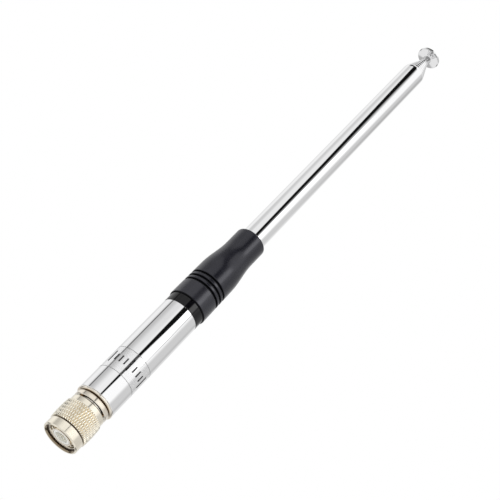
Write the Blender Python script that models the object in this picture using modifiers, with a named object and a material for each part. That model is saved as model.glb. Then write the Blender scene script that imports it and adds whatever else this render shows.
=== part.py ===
# Telescopic whip antenna for a hand-held radio: a threaded coaxial plug, a barrel that holds a
# loading coil, a moulded boot, and a rod of eight nested sections with a flat end button.
# The antenna stands upright and closed. The origin is the centre of the coupling nut's rim,
# and +Z runs along the rod to the button. Every turned piece has the Z axis as its own.

import math

import bmesh
import bpy

MM = 0.001

# Coupling nut, from its rim upwards
NUT_BAND_LENGTH = 3.4 * MM
NUT_BAND_RADIUS = 7.05 * MM
NUT_GROOVE_WIDTH = 0.5 * MM
NUT_GROOVE_FLOOR = 0.25 * MM
NUT_GROOVE_DEPTH = 0.3 * MM
KNURL_LENGTH = 7.95 * MM
KNURL_RADIUS = 7.5 * MM
KNURL_CROWN = 0.16 * MM
KNURL_DEPTH = 0.3 * MM
KNURL_ROUND = 50
KNURL_ROWS = 5
NUT_TAIL_LENGTH = 2.5 * MM
NUT_TAIL_RADIUS = 6.85 * MM
NUT_EDGE = 0.3 * MM
MOUTH_CHAMFER = 0.45 * MM
COUNTERBORE_RADIUS = 6.0 * MM
COUNTERBORE_DEPTH = 1.15 * MM
THREAD_BORE_RADIUS = 5.25 * MM
THREAD_LENGTH = 7.0 * MM
THREAD_RELIEF = 0.4 * MM

# Plug body, insulator, pin, gasket and snap ring
SLEEVE_RADIUS = 4.0 * MM
SLEEVE_WALL = 0.65 * MM
SLEEVE_RECESS = 0.6 * MM
SLEEVE_EDGE = 0.15 * MM
SHOULDER_HEIGHT = 8.2 * MM
SPIGOT_RADIUS = 4.9 * MM
NUT_RUNNING_CLEARANCE = 0.07 * MM
NUT_END_CLEARANCE = 0.1 * MM
COLLAR_GAP = 0.7 * MM
COLLAR_LENGTH = 1.75 * MM
COLLAR_RADIUS = 6.85 * MM
NECK_LENGTH = 0.65 * MM
NECK_DEPTH = 0.35 * MM
NECK_COLLAR_SLOPE = 0.13 * MM
NECK_FLANGE_SLOPE = 0.29 * MM
FLANGE_LENGTH = 0.7 * MM
FLANGE_STAND_OUT = 0.1 * MM
BARREL_SPIGOT_LENGTH = 5.0 * MM
INSULATOR_RECESS = 0.15 * MM
INSULATOR_STEP_LENGTH = 0.8 * MM
INSULATOR_REAR_RADIUS = 2.5 * MM
INSULATOR_MOUTH_RADIUS = 2.5 * MM
INSULATOR_MOUTH_DEPTH = 5.0 * MM
INSULATOR_SETBACK = 1.5 * MM
PIN_RADIUS = 0.69 * MM
PIN_SETBACK = 2.0 * MM
PIN_TAIL = 1.5 * MM
PIN_POINT_LENGTH = 0.6 * MM
PIN_POINT_RADIUS = 0.35 * MM
GASKET_THICKNESS = 0.9 * MM
GASKET_STAND_OUT = 0.25 * MM
SNAP_RING_THICKNESS = 0.8 * MM
SNAP_RING_STAND_OUT = 0.5 * MM
SNAP_RING_DEPTH = 0.5 * MM
SNAP_RING_HEIGHT = 10.7 * MM
SNAP_RING_OPEN_SIDES = 3

# Barrel, black bush and boot
BARREL_RADIUS = 7.4 * MM
BARREL_WALL = 0.8 * MM
BARREL_LENGTH = 45.9 * MM
BARREL_EDGE = 0.15 * MM
BUSH_RING_LENGTH = 4.0 * MM
BUSH_RING_RADIUS = 7.42 * MM
BUSH_SPIGOT_LENGTH = 3.6 * MM
BUSH_COLLET_LENGTH = 8.0 * MM
BUSH_COLLET_RADIUS = 6.0 * MM
BOOT_LENGTH = 39.8 * MM
BOOT_BASE_RADIUS = 7.85 * MM
BOOT_SHOULDER_RADIUS = 7.65 * MM
BOOT_NECK_RADIUS = 6.3 * MM
BOOT_CURVE_START = 17.9 * MM
BOOT_CURVE_LENGTH = 14.0 * MM
BOOT_TOP_ROUND = 0.9 * MM
BOOT_ROUND_STEPS = 3
BOOT_CURVE_STEPS = 8
BOOT_FOOT_EDGE = 0.3 * MM
BOOT_GROOVE_HEIGHT = 7.9 * MM
BOOT_GROOVE_PITCH = 2.1 * MM
BOOT_GROOVE_WIDTH = 1.0 * MM
BOOT_GROOVE_FLOOR = 0.5 * MM
BOOT_GROOVE_DEPTH = 0.7 * MM
BOOT_GROOVES = 3

# Loading coil on its former
FORMER_RADIUS = 5.0 * MM
FORMER_FLANGE_THICKNESS = 1.2 * MM
FORMER_SLOT_WIDTH = 1.7 * MM
FORMER_SLOT_DEPTH = 3.5 * MM
COIL_TURNS = 12
COIL_POINTS_A_TURN = 12
WIRE_RADIUS = 0.35 * MM
WIRE_CLEARANCE = 0.05 * MM
WIRE_BEND = 0.6 * MM

# Rod: stud, nested sections, contact springs and end button
STUD_FLANGE_RADIUS = 5.4 * MM
STUD_FLANGE_LENGTH = 1.4 * MM
STUD_PLUG_LENGTH = 6.0 * MM
SECTIONS = 8
OUTER_TUBE_LENGTH = 166.45 * MM
OUTER_TUBE_RADIUS = 4.85 * MM
RADIUS_STEP = 0.5 * MM
TUBE_WALL = 0.25 * MM
TIP_STEP = 1.45 * MM
TIP_CLEARANCE = 0.04 * MM
OUTER_ROLL_LENGTH = 1.7 * MM
TIP_ROLL_LENGTH = 0.9 * MM
TIP_LIP_LENGTH = 1.3 * MM
FOOT_LENGTH = 0.6 * MM
SPRING_LENGTH = 11.2 * MM
SPRING_CLEARANCE = 0.04 * MM
SPRING_OPEN_SIDES = 1
BUTTON_RADIUS = 5.0 * MM
BUTTON_THICKNESS = 1.2 * MM
BUTTON_EDGE = 0.3 * MM
BUTTON_HUB_RADIUS = 1.75 * MM
BUTTON_HUB_LENGTH = 1.75 * MM
BUTTON_CONE = 0.5 * MM
BUTTON_CAP = 0.5 * MM
ROD_STAND_OUT = 0.8 * MM

# Fits between pieces that don't move on each other
SEAT = 0.03 * MM
FIT = 0.04 * MM

# Facets round a turned piece
BODY_SIDES = 32
TUBE_SIDES = 20
SMALL_SIDES = 16
MERGE = 0.001 * MM
SHARP_ANGLE = math.radians(35)

# Heights and radii that follow from the sizes
KNURL_START = NUT_BAND_LENGTH + NUT_GROOVE_WIDTH
KNURL_END = KNURL_START + KNURL_LENGTH
NUT_LENGTH = KNURL_END + NUT_TAIL_LENGTH
NUT_BORE_RADIUS = SPIGOT_RADIUS + NUT_RUNNING_CLEARANCE
COLLAR_START = NUT_LENGTH + COLLAR_GAP
COLLAR_END = COLLAR_START + COLLAR_LENGTH
FLANGE_START = COLLAR_END + NECK_LENGTH
FLANGE_END = FLANGE_START + FLANGE_LENGTH
BODY_END = FLANGE_END + BARREL_SPIGOT_LENGTH
INSULATOR_RADIUS = SLEEVE_RADIUS - SLEEVE_WALL - FIT
INSULATOR_START = SLEEVE_RECESS + INSULATOR_RECESS
INSULATOR_STEP = SHOULDER_HEIGHT + INSULATOR_STEP_LENGTH
PIN_START = INSULATOR_START + PIN_SETBACK
PIN_END = BODY_END + PIN_TAIL
BARREL_BORE_RADIUS = BARREL_RADIUS - BARREL_WALL
BARREL_START = FLANGE_END + SEAT
BARREL_END = BARREL_START + BARREL_LENGTH
BUSH_START = BARREL_END - BUSH_SPIGOT_LENGTH
BUSH_RING_START = BARREL_END + SEAT
BUSH_RING_END = BUSH_RING_START + BUSH_RING_LENGTH
BOOT_START = BUSH_RING_END + SEAT
BOOT_END = BOOT_START + BOOT_LENGTH
BOOT_BORE_RADIUS = OUTER_TUBE_RADIUS + 2 * FIT
STUD_SHELF = BUSH_START - SEAT
STUD_START = STUD_SHELF - STUD_FLANGE_LENGTH
STUD_END = BUSH_START + STUD_PLUG_LENGTH
SECTION_SEAT = STUD_END + SEAT
FORMER_START = BODY_END + SEAT
FORMER_END = STUD_START - SEAT
ROD_RADIUS = OUTER_TUBE_RADIUS - (SECTIONS - 1) * RADIUS_STEP
BUTTON_HUB_START = BUSH_START + OUTER_TUBE_LENGTH + (SECTIONS - 2) * TIP_STEP + ROD_STAND_OUT
BUTTON_START = BUTTON_HUB_START + BUTTON_HUB_LENGTH + BUTTON_CONE
BUTTON_END = BUTTON_START + BUTTON_THICKNESS
ROD_END = BUTTON_END - BUTTON_CAP

PALETTE = {
    "nickel": ((0.66, 0.60, 0.52), 0.22, 1.0),
    "chrome": ((0.86, 0.87, 0.89), 0.08, 1.0),
    "brass": ((0.78, 0.62, 0.33), 0.3, 1.0),
    "copper": ((0.72, 0.36, 0.20), 0.35, 1.0),
    "spring_bronze": ((0.62, 0.45, 0.28), 0.35, 1.0),
    "white_plastic": ((0.84, 0.85, 0.83), 0.5, 0.0),
    "black_gloss": ((0.010, 0.010, 0.012), 0.12, 0.0),
    "black_satin": ((0.035, 0.035, 0.038), 0.45, 0.0),
    "rubber": ((0.03, 0.03, 0.03), 0.8, 0.0),
    "former_plastic": ((0.75, 0.72, 0.62), 0.6, 0.0),
}


def clear_scene():
    for old in list(bpy.data.objects):
        bpy.data.objects.remove(old, do_unlink=True)


def new_collection(name):
    collection = bpy.data.collections.new(name)
    bpy.context.scene.collection.children.link(collection)
    return collection


def new_material(name, finish):
    color, roughness, metallic = PALETTE[finish]
    material = bpy.data.materials.new(name)
    material.use_nodes = True
    shader = material.node_tree.nodes["Principled BSDF"]
    shader.inputs["Base Color"].default_value = (*color, 1.0)
    shader.inputs["Roughness"].default_value = roughness
    shader.inputs["Metallic"].default_value = metallic
    material.diffuse_color = (*color, 1.0)
    return material


def new_object(name, data, finish, parent=None):
    piece = bpy.data.objects.new(name, data)
    data.materials.append(new_material(name, finish))
    ANTENNA.objects.link(piece)
    if parent is not None:
        piece.parent = parent
    return piece


def bake(piece):
    """Put the modified mesh in place of the object's own, and drop the modifiers."""
    graph = bpy.context.evaluated_depsgraph_get()
    graph.update()
    mesh = bpy.data.meshes.new_from_object(piece.evaluated_get(graph), depsgraph=graph)
    piece.modifiers.clear()
    piece.data = mesh
    return mesh


def turned(name, profile, sides, finish, parent=None):
    """Turn a profile of (radius, height) points, running down its outer side, about the Z axis.

    A profile that starts and ends on the axis makes a solid, and any other closes into a ring."""
    points = [(radius, 0.0, height) for radius, height in profile]
    edges = [(i, i + 1) for i in range(len(points) - 1)]
    if profile[0][0] > 0:
        edges.append((len(points) - 1, 0))
    mesh = bpy.data.meshes.new(name)
    mesh.from_pydata(points, edges, [])
    piece = new_object(name, mesh, finish, parent)
    screw = piece.modifiers.new("Turn", "SCREW")
    screw.axis = "Z"
    screw.angle = math.tau
    screw.steps = sides
    screw.render_steps = sides
    screw.use_merge_vertices = True
    screw.merge_threshold = MERGE
    mesh = bake(piece)
    mesh.shade_smooth()
    mesh.set_sharp_from_angle(angle=SHARP_ANGLE)
    return piece


def split_sleeve(name, inner_radius, thickness, start, end, sides, open_sides, finish, parent=None):
    """A rolled strip with a slot down one side: an open ring of facets, thickened outwards."""
    mesh = bpy.data.meshes.new(name)
    bm = bmesh.new()
    rims = []
    for height in (start, end):
        angles = [math.tau * i / sides for i in range(sides - open_sides + 1)]
        rims.append([bm.verts.new((inner_radius * math.cos(angle), inner_radius * math.sin(angle), height))
                     for angle in angles])
    for i in range(sides - open_sides):
        bm.faces.new((rims[0][i], rims[0][i + 1], rims[1][i + 1], rims[1][i]))
    bm.to_mesh(mesh)
    bm.free()
    piece = new_object(name, mesh, finish, parent)
    wall = piece.modifiers.new("Wall", "SOLIDIFY")
    wall.thickness = thickness
    wall.offset = 1.0
    wall.use_even_offset = True
    return piece


def slot_cutter(name, start, end, width, reach):
    """A box that opens a radial slot along +X from just past the axis out to the reach."""
    mesh = bpy.data.meshes.new(name)
    bm = bmesh.new()
    bmesh.ops.create_cube(bm, size=1.0)
    length = reach + width / 2
    bmesh.ops.scale(bm, vec=(length, width, end - start), verts=bm.verts)
    bmesh.ops.translate(bm, vec=((reach - width / 2) / 2, 0.0, (start + end) / 2), verts=bm.verts)
    bm.to_mesh(mesh)
    bm.free()
    cutter = bpy.data.objects.new(name, mesh)
    CUTTERS.objects.link(cutter)
    cutter.hide_render = True
    cutter.display_type = "WIRE"
    return cutter


def cut(piece, cutter):
    modifier = piece.modifiers.new(cutter.name, "BOOLEAN")
    modifier.operation = "DIFFERENCE"
    modifier.solver = "EXACT"
    modifier.object = cutter


def knurl_radius(row):
    """Crest radius of a knurl row: the nut is crowned, so the middle rows stand out most."""
    share = 2 * row / KNURL_ROWS - 1
    return KNURL_RADIUS - KNURL_CROWN * share ** 2


def ring_of(bm, radius, height):
    """The blank's ring of points at a radius and height, in order round the axis."""
    near = [v for v in bm.verts if abs(v.co.z - height) < MERGE and abs(v.co.xy.length - radius) < MERGE]
    step = math.tau / KNURL_ROUND
    return sorted(near, key=lambda v: round(math.atan2(v.co.y, v.co.x) / step) % KNURL_ROUND)


def knurl(blank, root):
    """Roll a diamond knurl on the blank: crossed grooves meet at every second point of each row,
    and the points between them are the diamonds' crests."""
    mesh = blank.data
    bm = bmesh.new()
    bm.from_mesh(mesh)
    first = ring_of(bm, root, KNURL_START)
    last = ring_of(bm, root, KNURL_END)
    ends = set(first) | set(last)
    bmesh.ops.delete(bm, geom=[f for f in bm.faces if ends.issuperset(f.verts)], context="FACES_ONLY")
    around = 2 * KNURL_ROUND
    rows = []
    for row in range(1, KNURL_ROWS):
        height = KNURL_START + KNURL_LENGTH * row / KNURL_ROWS
        crest = knurl_radius(row)
        points = []
        for i in range(around):
            radius = crest if (i + row) % 2 else crest - KNURL_DEPTH
            angle = math.tau * i / around
            points.append(bm.verts.new((radius * math.cos(angle), radius * math.sin(angle), height)))
        rows.append(points)
    for low, high, row in zip(rows, rows[1:], range(1, KNURL_ROWS)):
        for i in range(around):
            j = (i + 1) % around
            if (i + row) % 2:
                bm.faces.new((low[i], low[j], high[i]))
                bm.faces.new((low[j], high[j], high[i]))
            else:
                bm.faces.new((low[i], low[j], high[j]))
                bm.faces.new((low[i], high[j], high[i]))
    for i in range(KNURL_ROUND):
        j = (i + 1) % KNURL_ROUND
        a, b, c = 2 * i, 2 * i + 1, (2 * i + 2) % around
        low, high = rows[0], rows[-1]
        bm.faces.new((first[i], low[b], low[a]))
        bm.faces.new((first[i], first[j], low[b]))
        bm.faces.new((first[j], low[c], low[b]))
        bm.faces.new((last[i], high[a], high[b]))
        bm.faces.new((last[i], high[b], last[j]))
        bm.faces.new((last[j], high[b], high[c]))
    bmesh.ops.recalc_face_normals(bm, faces=bm.faces)
    bm.to_mesh(mesh)
    bm.free()
    mesh.set_sharp_from_angle(angle=SHARP_ANGLE)


def coupling_nut(parent):
    """Turned blank of the nut, bored for thread, plug body and snap ring, then knurled."""
    end_root = knurl_radius(0) - KNURL_DEPTH
    groove_radius = NUT_BAND_RADIUS - NUT_GROOVE_DEPTH
    relief_radius = THREAD_BORE_RADIUS + THREAD_RELIEF
    web_start = SHOULDER_HEIGHT + NUT_END_CLEARANCE
    ring_radius = SPIGOT_RADIUS + SNAP_RING_STAND_OUT + NUT_RUNNING_CLEARANCE
    ring_start = SNAP_RING_HEIGHT - NUT_END_CLEARANCE
    ring_end = SNAP_RING_HEIGHT + SNAP_RING_THICKNESS + NUT_END_CLEARANCE
    groove_slope = (NUT_GROOVE_WIDTH - NUT_GROOVE_FLOOR) / 2
    profile = [
        (NUT_TAIL_RADIUS - NUT_EDGE, NUT_LENGTH),
        (NUT_TAIL_RADIUS, NUT_LENGTH - NUT_EDGE),
        (end_root, KNURL_END),
        (end_root, KNURL_START),
        (groove_radius, KNURL_START - groove_slope),
        (groove_radius, NUT_BAND_LENGTH + groove_slope),
        (NUT_BAND_RADIUS, NUT_BAND_LENGTH),
        (NUT_BAND_RADIUS, NUT_EDGE),
        (NUT_BAND_RADIUS - NUT_EDGE, 0.0),
        (COUNTERBORE_RADIUS + MOUTH_CHAMFER, 0.0),
        (COUNTERBORE_RADIUS, MOUTH_CHAMFER),
        (COUNTERBORE_RADIUS, COUNTERBORE_DEPTH),
        (THREAD_BORE_RADIUS, COUNTERBORE_DEPTH),
        (THREAD_BORE_RADIUS, THREAD_LENGTH),
        (relief_radius, THREAD_LENGTH + THREAD_RELIEF),
        (relief_radius, web_start),
        (NUT_BORE_RADIUS, web_start),
        (NUT_BORE_RADIUS, ring_start),
        (ring_radius, ring_start),
        (ring_radius, ring_end),
        (NUT_BORE_RADIUS, ring_end),
        (NUT_BORE_RADIUS, NUT_LENGTH),
    ]
    nut = turned("coupling_nut", profile, KNURL_ROUND, "nickel", parent)
    knurl(nut, end_root)
    return nut


def snap_ring(parent):
    """Split ring that sits in the plug body's groove and holds the nut on."""
    inner = SPIGOT_RADIUS - SNAP_RING_DEPTH
    thickness = SNAP_RING_DEPTH + SNAP_RING_STAND_OUT
    return split_sleeve("nut_snap_ring", inner, thickness, SNAP_RING_HEIGHT,
                        SNAP_RING_HEIGHT + SNAP_RING_THICKNESS, BODY_SIDES, SNAP_RING_OPEN_SIDES,
                        "spring_bronze", parent)


def connector_body(parent):
    """Plug body in one turned piece: outer contact sleeve, nut spigot, collar, neck, flange and
    the spigot that the barrel is pressed on."""
    barrel_spigot = BARREL_BORE_RADIUS - FIT
    flange = BARREL_RADIUS + FLANGE_STAND_OUT
    neck = COLLAR_RADIUS - NECK_DEPTH
    edge = SLEEVE_EDGE
    ring_floor = SPIGOT_RADIUS - SNAP_RING_DEPTH - FIT
    front_bore = SLEEVE_RADIUS - SLEEVE_WALL
    rear_bore = INSULATOR_REAR_RADIUS + FIT
    profile = [
        (barrel_spigot - edge, BODY_END),
        (barrel_spigot, BODY_END - edge),
        (barrel_spigot, FLANGE_END),
        (flange - edge, FLANGE_END),
        (flange, FLANGE_END - edge),
        (flange, FLANGE_START + edge),
        (flange - edge, FLANGE_START),
        (neck, FLANGE_START - NECK_FLANGE_SLOPE),
        (neck, COLLAR_END + NECK_COLLAR_SLOPE),
        (COLLAR_RADIUS, COLLAR_END),
        (COLLAR_RADIUS, COLLAR_START + edge),
        (COLLAR_RADIUS - edge, COLLAR_START),
        (SPIGOT_RADIUS, COLLAR_START),
        (SPIGOT_RADIUS, SNAP_RING_HEIGHT + SNAP_RING_THICKNESS + FIT),
        (ring_floor, SNAP_RING_HEIGHT + SNAP_RING_THICKNESS + FIT),
        (ring_floor, SNAP_RING_HEIGHT - FIT),
        (SPIGOT_RADIUS, SNAP_RING_HEIGHT - FIT),
        (SPIGOT_RADIUS, SHOULDER_HEIGHT),
        (SLEEVE_RADIUS, SHOULDER_HEIGHT),
        (SLEEVE_RADIUS, SLEEVE_RECESS + edge),
        (SLEEVE_RADIUS - edge, SLEEVE_RECESS),
        (front_bore, SLEEVE_RECESS),
        (front_bore, INSULATOR_STEP),
        (rear_bore, INSULATOR_STEP),
        (rear_bore, BODY_END),
    ]
    return turned("connector_body", profile, BODY_SIDES, "nickel", parent)


def connector_gasket(parent):
    inner = SLEEVE_RADIUS + FIT
    outer = SPIGOT_RADIUS + GASKET_STAND_OUT
    end = SHOULDER_HEIGHT - SEAT
    start = end - GASKET_THICKNESS
    profile = [(outer, end), (outer, start), (inner, start), (inner, end)]
    return turned("connector_gasket", profile, BODY_SIDES, "rubber", parent)


def contact_insulator(parent):
    """Insulator with a round mouth for the socket's nose, and a hole for the centre pin."""
    hole = PIN_RADIUS + FIT
    mouth_end = INSULATOR_START + INSULATOR_MOUTH_DEPTH
    step = INSULATOR_STEP - SEAT
    end = BODY_END - INSULATOR_SETBACK
    profile = [
        (INSULATOR_REAR_RADIUS, end),
        (INSULATOR_REAR_RADIUS, step),
        (INSULATOR_RADIUS, step),
        (INSULATOR_RADIUS, INSULATOR_START),
        (INSULATOR_MOUTH_RADIUS, INSULATOR_START),
        (INSULATOR_MOUTH_RADIUS, mouth_end),
        (hole, mouth_end),
        (hole, end),
    ]
    return turned("contact_insulator", profile, BODY_SIDES, "white_plastic", parent)


def center_pin(parent):
    profile = [
        (0.0, PIN_END),
        (PIN_RADIUS, PIN_END),
        (PIN_RADIUS, PIN_START + PIN_POINT_LENGTH),
        (PIN_POINT_RADIUS, PIN_START),
        (0.0, PIN_START),
    ]
    return turned("center_pin", profile, SMALL_SIDES, "brass", parent)


def barrel(parent):
    edge = BARREL_EDGE
    profile = [
        (BARREL_RADIUS - edge, BARREL_END),
        (BARREL_RADIUS, BARREL_END - edge),
        (BARREL_RADIUS, BARREL_START + edge),
        (BARREL_RADIUS - edge, BARREL_START),
        (BARREL_BORE_RADIUS, BARREL_START),
        (BARREL_BORE_RADIUS, BARREL_END),
    ]
    return turned("barrel", profile, BODY_SIDES, "chrome", parent)


def coil_former(parent):
    """Spool between plug body and rod stud, slotted at both ends for the coil's leads."""
    flange = BARREL_BORE_RADIUS - 2 * FIT
    low = FORMER_START + FORMER_FLANGE_THICKNESS
    high = FORMER_END - FORMER_FLANGE_THICKNESS
    profile = [
        (0.0, FORMER_END),
        (flange, FORMER_END),
        (flange, high),
        (FORMER_RADIUS, high),
        (FORMER_RADIUS, low),
        (flange, low),
        (flange, FORMER_START),
        (0.0, FORMER_START),
    ]
    former = turned("coil_former", profile, COIL_POINTS_A_TURN, "former_plastic", parent)
    reach = BARREL_RADIUS
    low_slot = (FORMER_START - FORMER_SLOT_WIDTH, FORMER_START + FORMER_SLOT_DEPTH)
    high_slot = (FORMER_END - FORMER_SLOT_DEPTH, FORMER_END + FORMER_SLOT_WIDTH)
    cut(former, slot_cutter("former_slot_low", *low_slot, FORMER_SLOT_WIDTH, reach))
    cut(former, slot_cutter("former_slot_high", *high_slot, FORMER_SLOT_WIDTH, reach))
    return former


def loading_coil(parent):
    """One wire: from the pin, out through the low slot, round the former, and back in to the stud."""
    radius = FORMER_RADIUS + WIRE_RADIUS + WIRE_CLEARANCE
    low_lead = FORMER_START + FORMER_SLOT_DEPTH - 2 * WIRE_BEND
    high_lead = FORMER_END - FORMER_SLOT_DEPTH + 2 * WIRE_BEND
    low_turn = low_lead + 2 * WIRE_BEND
    high_turn = high_lead - 2 * WIRE_BEND
    points = [
        (0.0, 0.0, PIN_END + SEAT),
        (0.0, 0.0, low_lead - WIRE_BEND),
        (WIRE_BEND, 0.0, low_lead),
        (radius - WIRE_BEND, 0.0, low_lead),
        (radius, 0.0, low_lead + WIRE_BEND),
    ]
    steps = COIL_TURNS * COIL_POINTS_A_TURN
    for i in range(steps + 1):
        angle = math.tau * i / COIL_POINTS_A_TURN
        height = low_turn + (high_turn - low_turn) * i / steps
        points.append((radius * math.cos(angle), radius * math.sin(angle), height))
    points += [
        (radius, 0.0, high_lead - WIRE_BEND),
        (radius - WIRE_BEND, 0.0, high_lead),
        (WIRE_BEND, 0.0, high_lead),
        (0.0, 0.0, high_lead + WIRE_BEND),
        (0.0, 0.0, STUD_START - SEAT),
    ]
    curve = bpy.data.curves.new("loading_coil", "CURVE")
    curve.dimensions = "3D"
    curve.bevel_depth = WIRE_RADIUS
    curve.bevel_resolution = 2
    curve.render_resolution_u = 0
    curve.use_fill_caps = True
    spline = curve.splines.new("POLY")
    spline.points.add(len(points) - 1)
    for spot, place in zip(spline.points, points):
        spot.co = (*place, 1.0)
    return new_object("loading_coil", curve, "copper", parent)


def rod_stud(parent):
    """Stud with a shelf for the outer tube, and a plug inside it that the sections stand on."""
    plug = OUTER_TUBE_RADIUS - TUBE_WALL - FIT
    profile = [
        (0.0, STUD_END),
        (plug, STUD_END),
        (plug, STUD_SHELF),
        (STUD_FLANGE_RADIUS, STUD_SHELF),
        (STUD_FLANGE_RADIUS, STUD_START),
        (0.0, STUD_START),
    ]
    return turned("rod_stud", profile, TUBE_SIDES, "brass", parent)


def insulator_bush(parent):
    """Black bush between barrel and boot: a spigot in the barrel, a ring on it, a collet in the boot."""
    bore = BOOT_BORE_RADIUS
    spigot = BARREL_BORE_RADIUS - FIT
    edge = BARREL_EDGE
    collet_end = BUSH_RING_END + BUSH_COLLET_LENGTH
    profile = [
        (BUSH_COLLET_RADIUS, collet_end),
        (BUSH_COLLET_RADIUS, BUSH_RING_END),
        (BUSH_RING_RADIUS - edge, BUSH_RING_END),
        (BUSH_RING_RADIUS, BUSH_RING_END - edge),
        (BUSH_RING_RADIUS, BUSH_RING_START + edge),
        (BUSH_RING_RADIUS - edge, BUSH_RING_START),
        (spigot, BUSH_RING_START),
        (spigot, BUSH_START),
        (bore, BUSH_START),
        (bore, collet_end),
    ]
    return turned("insulator_bush", profile, BODY_SIDES, "black_gloss", parent)


def boot_radius(height):
    """Outer radius of the boot above its foot: a slight taper, then an S curve into the neck."""
    if height < BOOT_CURVE_START:
        share = height / BOOT_CURVE_START
        return BOOT_BASE_RADIUS + (BOOT_SHOULDER_RADIUS - BOOT_BASE_RADIUS) * share
    share = min(1.0, (height - BOOT_CURVE_START) / BOOT_CURVE_LENGTH)
    fall = (1 - math.cos(math.pi * share)) / 2
    return BOOT_SHOULDER_RADIUS + (BOOT_NECK_RADIUS - BOOT_SHOULDER_RADIUS) * fall


def boot(parent):
    """Moulded boot over the bush's collet and the rod's foot, with three grooves for grip."""
    outline = []
    for i in range(BOOT_ROUND_STEPS + 1):
        angle = math.pi / 2 * (1 - i / BOOT_ROUND_STEPS)
        outline.append((BOOT_NECK_RADIUS - BOOT_TOP_ROUND * (1 - math.cos(angle)),
                        BOOT_LENGTH - BOOT_TOP_ROUND * (1 - math.sin(angle))))
    for i in range(BOOT_CURVE_STEPS, -1, -1):
        height = BOOT_CURVE_START + BOOT_CURVE_LENGTH * i / BOOT_CURVE_STEPS
        outline.append((boot_radius(height), height))
    for i in range(BOOT_GROOVES - 1, -1, -1):
        middle = BOOT_GROOVE_HEIGHT + i * BOOT_GROOVE_PITCH
        lip, floor = BOOT_GROOVE_WIDTH / 2, BOOT_GROOVE_FLOOR / 2
        for height, depth in ((lip, 0), (floor, BOOT_GROOVE_DEPTH), (-floor, BOOT_GROOVE_DEPTH), (-lip, 0)):
            outline.append((boot_radius(middle + height) - depth, middle + height))
    outline.append((boot_radius(BOOT_FOOT_EDGE), BOOT_FOOT_EDGE))
    outline.append((BOOT_BASE_RADIUS - BOOT_FOOT_EDGE, 0.0))
    collet = BUSH_COLLET_RADIUS + FIT
    socket = BUSH_COLLET_LENGTH + 2 * FIT
    outline += [(collet, 0.0), (collet, socket), (BOOT_BORE_RADIUS, socket), (BOOT_BORE_RADIUS, BOOT_LENGTH)]
    profile = [(radius, BOOT_START + height) for radius, height in outline]
    return turned("boot", profile, BODY_SIDES, "black_satin", parent)


def section_radius(number):
    return OUTER_TUBE_RADIUS - (number - 1) * RADIUS_STEP


def section_tip(number):
    """Height of a tube's rolled-in tip when the rod is closed."""
    return BUSH_START + OUTER_TUBE_LENGTH + (number - 1) * TIP_STEP


def foot_radius(number):
    """Foot and contact spring of a section fill the gap to the tube round it, less a clearance."""
    return section_radius(number) + RADIUS_STEP - TUBE_WALL - SPRING_CLEARANCE


def section_foot(number):
    """Outer side of a sliding section's foot, running down."""
    radius = section_radius(number)
    foot = foot_radius(number)
    top = SECTION_SEAT + FOOT_LENGTH
    return [(radius, top), (foot, top), (foot, SECTION_SEAT)]


def tube_section(number, parent):
    """A tube with its tip rolled in on the next section, and below it a foot if it slides."""
    radius = section_radius(number)
    tip = section_tip(number)
    bore = radius - TUBE_WALL
    lip = section_radius(number + 1) + TIP_CLEARANCE
    roll = radius - TUBE_WALL / 2 - lip
    length = OUTER_ROLL_LENGTH if number == 1 else TIP_ROLL_LENGTH
    profile = [(radius - roll, tip)]
    for angle in (30, 60):
        turn = math.radians(angle)
        profile.append((radius - roll * (1 - math.sin(turn)), tip - length * (1 - math.cos(turn))))
    profile.append((radius, tip - length))
    if number == 1:
        foot = BUSH_START
        profile.append((radius, foot))
    else:
        foot = SECTION_SEAT
        profile += section_foot(number)
    profile += [
        (bore, foot),
        (bore, tip - TIP_LIP_LENGTH),
        (lip, tip - TIP_LIP_LENGTH / 2),
        (lip, tip),
    ]
    return turned(f"section_{number}", profile, TUBE_SIDES, "chrome", parent)


def solid_rod(parent):
    """The innermost section, a solid rod that carries the end button."""
    profile = [(0.0, ROD_END), (ROD_RADIUS, ROD_END), *section_foot(SECTIONS), (0.0, SECTION_SEAT)]
    return turned(f"section_{SECTIONS}", profile, TUBE_SIDES, "chrome", parent)


def contact_spring(number, parent):
    """Split sleeve on a section's foot, which presses on the bore round it and stops it at the tip."""
    inner = section_radius(number) + SPRING_CLEARANCE
    outer = foot_radius(number)
    start = SECTION_SEAT + FOOT_LENGTH + SEAT
    return split_sleeve(f"contact_spring_{number}", inner, outer - inner, start, start + SPRING_LENGTH,
                        TUBE_SIDES, SPRING_OPEN_SIDES, "spring_bronze", parent)


def tip_button(parent):
    """Flat disc with a coned underside and rounded edges, on a short hub closed over the rod's end."""
    bore = ROD_RADIUS + FIT
    edge = BUTTON_EDGE
    hub_edge = BUTTON_EDGE / 2
    profile = [
        (0.0, BUTTON_END),
        (BUTTON_RADIUS - edge, BUTTON_END),
        (BUTTON_RADIUS, BUTTON_END - edge),
        (BUTTON_RADIUS, BUTTON_START + edge),
        (BUTTON_RADIUS - edge, BUTTON_START),
        (BUTTON_HUB_RADIUS, BUTTON_START - BUTTON_CONE),
        (BUTTON_HUB_RADIUS, BUTTON_HUB_START + hub_edge),
        (BUTTON_HUB_RADIUS - hub_edge, BUTTON_HUB_START),
        (bore, BUTTON_HUB_START),
        (bore, ROD_END + SEAT),
        (0.0, ROD_END + SEAT),
    ]
    return turned("tip_button", profile, TUBE_SIDES, "chrome", parent)


def new_empty(name, parent=None):
    """An empty on the antenna's axis, which carries the pieces that move together."""
    empty = bpy.data.objects.new(name, None)
    ANTENNA.objects.link(empty)
    if parent is not None:
        empty.parent = parent
    return empty


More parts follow.
